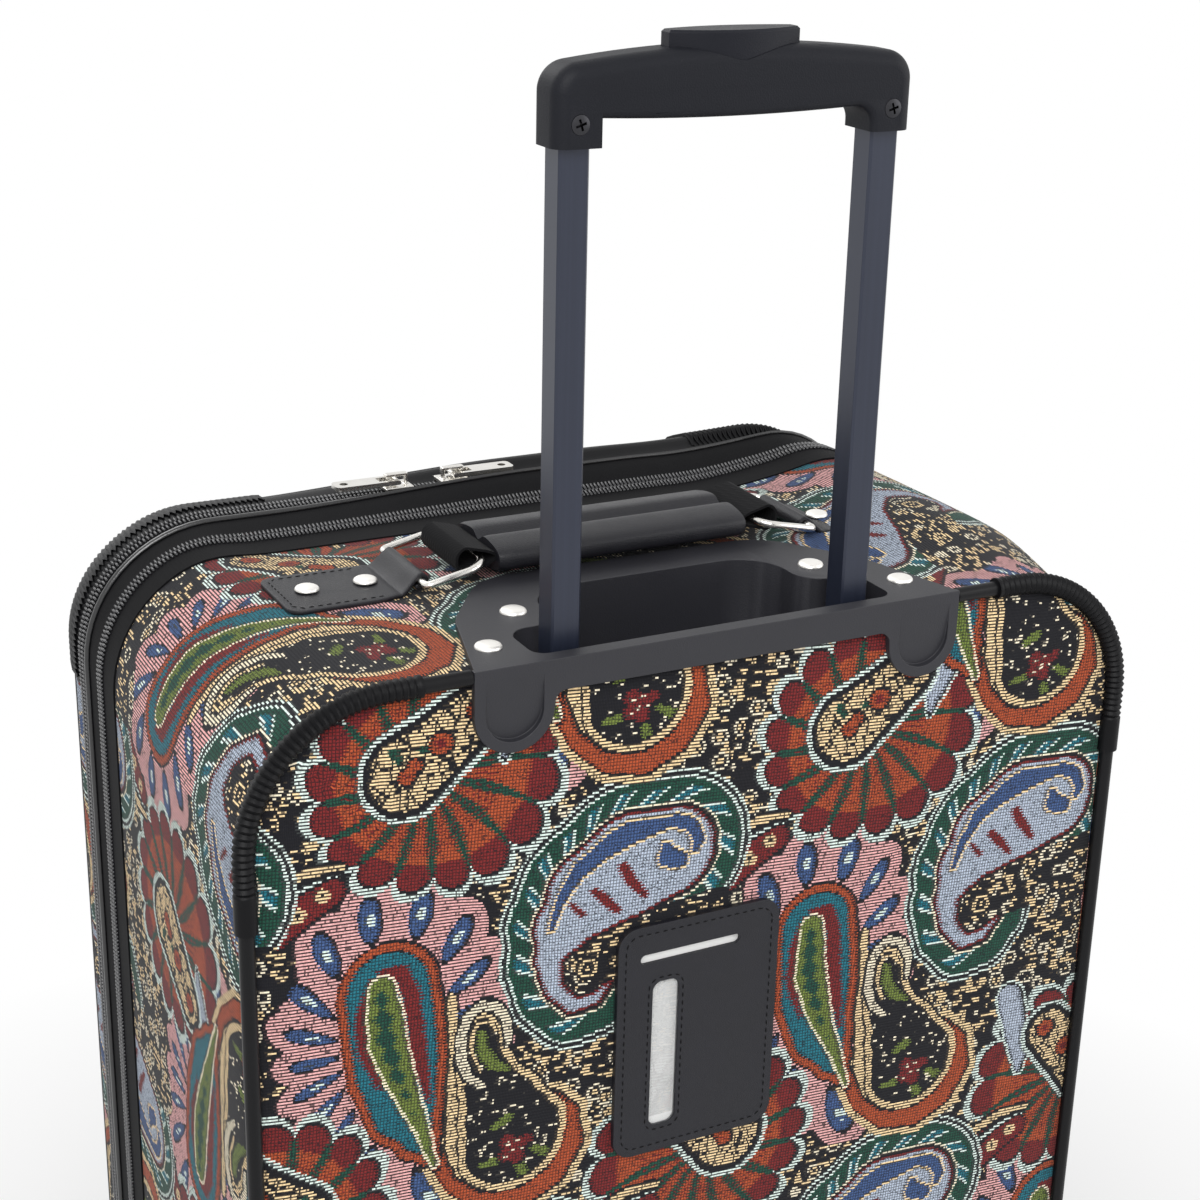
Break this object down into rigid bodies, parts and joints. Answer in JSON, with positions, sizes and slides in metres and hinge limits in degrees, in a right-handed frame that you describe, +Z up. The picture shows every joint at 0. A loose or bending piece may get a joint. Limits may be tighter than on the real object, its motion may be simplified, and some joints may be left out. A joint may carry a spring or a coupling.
{
  "type": "spinner suitcase",
  "caption": "Soft-sided upright suitcase in woven paisley tapestry with zip expander, telescopic trolley handle, ring-mounted carry handle and swivel casters.",
  "frame": {"origin": "floor level under the middle of the case's bounding box", "axes": "+Z up along the trolley tubes, +Y from the back panel towards the lid, +X across the case towards the lid's hinge side"},
  "size_m": [0.4085, 0.2694, 0.8816],
  "materials": {
    "tapestry_cloth": "woven multicolour tapestry",
    "lining_cloth": "plain dark lining",
    "vinyl_piping": "satin black vinyl",
    "moulded_corner": "ribbed satin black moulding",
    "zip_tape": "black zip tape and coil",
    "moulded_plastic": "fine grained charcoal moulding",
    "button_plastic": "smooth charcoal moulding",
    "caster_plastic": "smooth black moulding",
    "nickel": "polished nickel plate",
    "black_steel": "blackened screw",
    "bright_steel": "drawn steel",
    "painted_tube": "satin black tube",
    "handle_leather": "grained charcoal leather",
    "webbing": "black woven webbing",
    "tag_vinyl": "black stitched vinyl",
    "clear_pane": "clear film",
    "card": "plain white card",
    "wheel_rubber": "moulded wheel"
  },
  "bodies": {
    "case": {"case_tub": "tapestry_cloth", "lining_panel": "lining_cloth", "back_piping": "vinyl_piping", "back_corner_sleeves": "moulded_corner", "expander_zip": "zip_tape", "body_welt": "vinyl_piping", "main_zip_rear": "zip_tape", "lid_hinge_tape": "zip_tape", "trolley_cup": "moulded_plastic", "rivets": "nickel", "outer_tubes": "bright_steel", "tube_anchor": "moulded_plastic", "handle_tab_left": "handle_leather", "handle_tab_right": "handle_leather", "id_tag_panel": "tag_vinyl", "id_tag_window": "clear_pane", "id_card": "card", "caster_housing_rear_left": "moulded_plastic", "caster_housing_rear_right": "moulded_plastic", "caster_housing_front_left": "moulded_plastic", "caster_housing_front_right": "moulded_plastic"},
    "lid": {"lid_shell": "tapestry_cloth", "lid_piping": "vinyl_piping", "lid_corner_guards": "moulded_corner", "main_zip_front": "zip_tape", "front_pocket": "tapestry_cloth", "pocket_zip": "zip_tape"},
    "trolley": {"inner_tubes": "painted_tube", "grip_upper": "moulded_plastic", "grip_lower": "moulded_plastic", "grip_screws": "black_steel", "button_spring": "bright_steel"},
    "button": {"release_button": "button_plastic", "release_rods": "bright_steel"},
    "lock_pin_left": {"lock_pin_left": "bright_steel"},
    "lock_pin_right": {"lock_pin_right": "bright_steel"},
    "carry_handle": {"carry_handle_wrap": "handle_leather", "carry_handle_webbing": "webbing"},
    "ring_left": {"d_ring_left": "nickel"},
    "ring_right": {"d_ring_right": "nickel"},
    "main_slider_left": {"main_slider_left": "nickel"},
    "main_slider_right": {"main_slider_right": "nickel"},
    "expander_slider": {"expander_slider": "nickel"},
    "pocket_slider": {"pocket_slider": "nickel"},
    "main_pull_left": {"main_pull_left": "nickel"},
    "main_pull_right": {"main_pull_right": "nickel"},
    "expander_pull": {"expander_pull": "nickel"},
    "pocket_pull": {"pocket_pull": "nickel"},
    "caster_rear_left": {"caster_fork_rear_left": "caster_plastic", "caster_axle_rear_left": "bright_steel"},
    "wheel_rear_left": {"caster_wheel_rear_left": "wheel_rubber"},
    "caster_rear_right": {"caster_fork_rear_right": "caster_plastic", "caster_axle_rear_right": "bright_steel"},
    "wheel_rear_right": {"caster_wheel_rear_right": "wheel_rubber"},
    "caster_front_left": {"caster_fork_front_left": "caster_plastic", "caster_axle_front_left": "bright_steel"},
    "wheel_front_left": {"caster_wheel_front_left": "wheel_rubber"},
    "caster_front_right": {"caster_fork_front_right": "caster_plastic", "caster_axle_front_right": "bright_steel"},
    "wheel_front_right": {"caster_wheel_front_right": "wheel_rubber"}
  },
  "joints": [
    {"name": "lid_hinge", "type": "hinge", "parent": "case", "child": "lid", "pos_m": [0.2005, 0.0893, 0.359], "axis": [0, 0, -1], "range_deg": [0, 165]},
    {"name": "trolley_slide", "type": "slide", "parent": "case", "child": "trolley", "axis": [0, 0, 1], "range_m": [-0.224, 0.24]},
    {"name": "button_press", "type": "slide", "parent": "trolley", "child": "button", "axis": [0, 0, -1], "range_m": [0, 0.004], "stiffness_N_per_m": 900, "springref_m": -0.006, "deforming": ["button_spring"]},
    {"name": "lock_pin_left_slide", "type": "slide", "parent": "trolley", "child": "lock_pin_left", "axis": [1, 0, 0], "range_m": [0, 0.0024]},
    {"name": "lock_pin_right_slide", "type": "slide", "parent": "trolley", "child": "lock_pin_right", "axis": [-1, 0, 0], "range_m": [0, 0.0024]},
    {"name": "carry_handle_lift", "type": "slide", "parent": "case", "child": "carry_handle", "axis": [0, 0, 1], "range_m": [0, 0.012]},
    {"name": "ring_left_swing", "type": "hinge", "parent": "case", "child": "ring_left", "pos_m": [-0.091, -0.0207, 0.6596], "axis": [0, -1, 0], "range_deg": [0, 28.4]},
    {"name": "ring_right_swing", "type": "hinge", "parent": "case", "child": "ring_right", "pos_m": [0.091, -0.0207, 0.6596], "axis": [0, 1, 0], "range_deg": [0, 28.4]},
    {"name": "main_slider_left_run", "type": "slide", "parent": "case", "child": "main_slider_left", "axis": [1, 0, 0], "range_m": [-0.07, 0.006]},
    {"name": "main_slider_right_run", "type": "slide", "parent": "case", "child": "main_slider_right", "axis": [1, 0, 0], "range_m": [-0.006, 0.14]},
    {"name": "main_pull_left_swing", "type": "hinge", "parent": "main_slider_left", "child": "main_pull_left", "pos_m": [-0.05, 0.0893, 0.6604], "axis": [0, 1, 0], "range_deg": [0, 90]},
    {"name": "main_pull_right_swing", "type": "hinge", "parent": "main_slider_right", "child": "main_pull_right", "pos_m": [-0.022, 0.0893, 0.6604], "axis": [0, -1, 0], "range_deg": [0, 90]},
    {"name": "expander_slider_run", "type": "slide", "parent": "case", "child": "expander_slider", "axis": [0, 0, 1], "range_m": [-0.09, 0.3]},
    {"name": "expander_pull_swing", "type": "hinge", "parent": "expander_slider", "child": "expander_pull", "pos_m": [-0.2034, 0.0598, 0.25], "axis": [0, 1, 0], "range_deg": [0, 120]},
    {"name": "pocket_slider_run", "type": "slide", "parent": "lid", "child": "pocket_slider", "axis": [1, 0, 0], "range_m": [-0.02, 0.19]},
    {"name": "pocket_pull_swing", "type": "hinge", "parent": "pocket_slider", "child": "pocket_pull", "pos_m": [-0.096, 0.1346, 0.482], "axis": [0, 0, 1], "range_deg": [0, 120]},
    {"name": "caster_rear_left_swivel", "type": "hinge", "parent": "case", "child": "caster_rear_left", "pos_m": [-0.152, -0.0847, 0.053], "axis": [0, 0, 1], "continuous": true},
    {"name": "wheel_rear_left_spin", "type": "hinge", "parent": "caster_rear_left", "child": "wheel_rear_left", "pos_m": [-0.152, -0.0977, 0.024], "axis": [1, 0, 0], "continuous": true},
    {"name": "caster_rear_right_swivel", "type": "hinge", "parent": "case", "child": "caster_rear_right", "pos_m": [0.152, -0.0847, 0.053], "axis": [0, 0, 1], "continuous": true},
    {"name": "wheel_rear_right_spin", "type": "hinge", "parent": "caster_rear_right", "child": "wheel_rear_right", "pos_m": [0.152, -0.0977, 0.024], "axis": [1, 0, 0], "continuous": true},
    {"name": "caster_front_left_swivel", "type": "hinge", "parent": "case", "child": "caster_front_left", "pos_m": [-0.152, 0.0093, 0.053], "axis": [0, 0, 1], "continuous": true},
    {"name": "wheel_front_left_spin", "type": "hinge", "parent": "caster_front_left", "child": "wheel_front_left", "pos_m": [-0.152, 0.0223, 0.024], "axis": [1, 0, 0], "continuous": true},
    {"name": "caster_front_right_swivel", "type": "hinge", "parent": "case", "child": "caster_front_right", "pos_m": [0.152, 0.0093, 0.053], "axis": [0, 0, 1], "continuous": true},
    {"name": "wheel_front_right_spin", "type": "hinge", "parent": "caster_front_right", "child": "wheel_front_right", "pos_m": [0.152, 0.0223, 0.024], "axis": [1, 0, 0], "continuous": true}
  ],
  "couplings": [
    {"joint": "lock_pin_left_slide", "follows": "button_press", "ratio": 0.6},
    {"joint": "lock_pin_right_slide", "follows": "button_press", "ratio": 0.6},
    {"joint": "ring_left_swing", "follows": "carry_handle_lift", "rad_per_m": 41.161},
    {"joint": "ring_right_swing", "follows": "carry_handle_lift", "rad_per_m": 41.161}
  ]
}
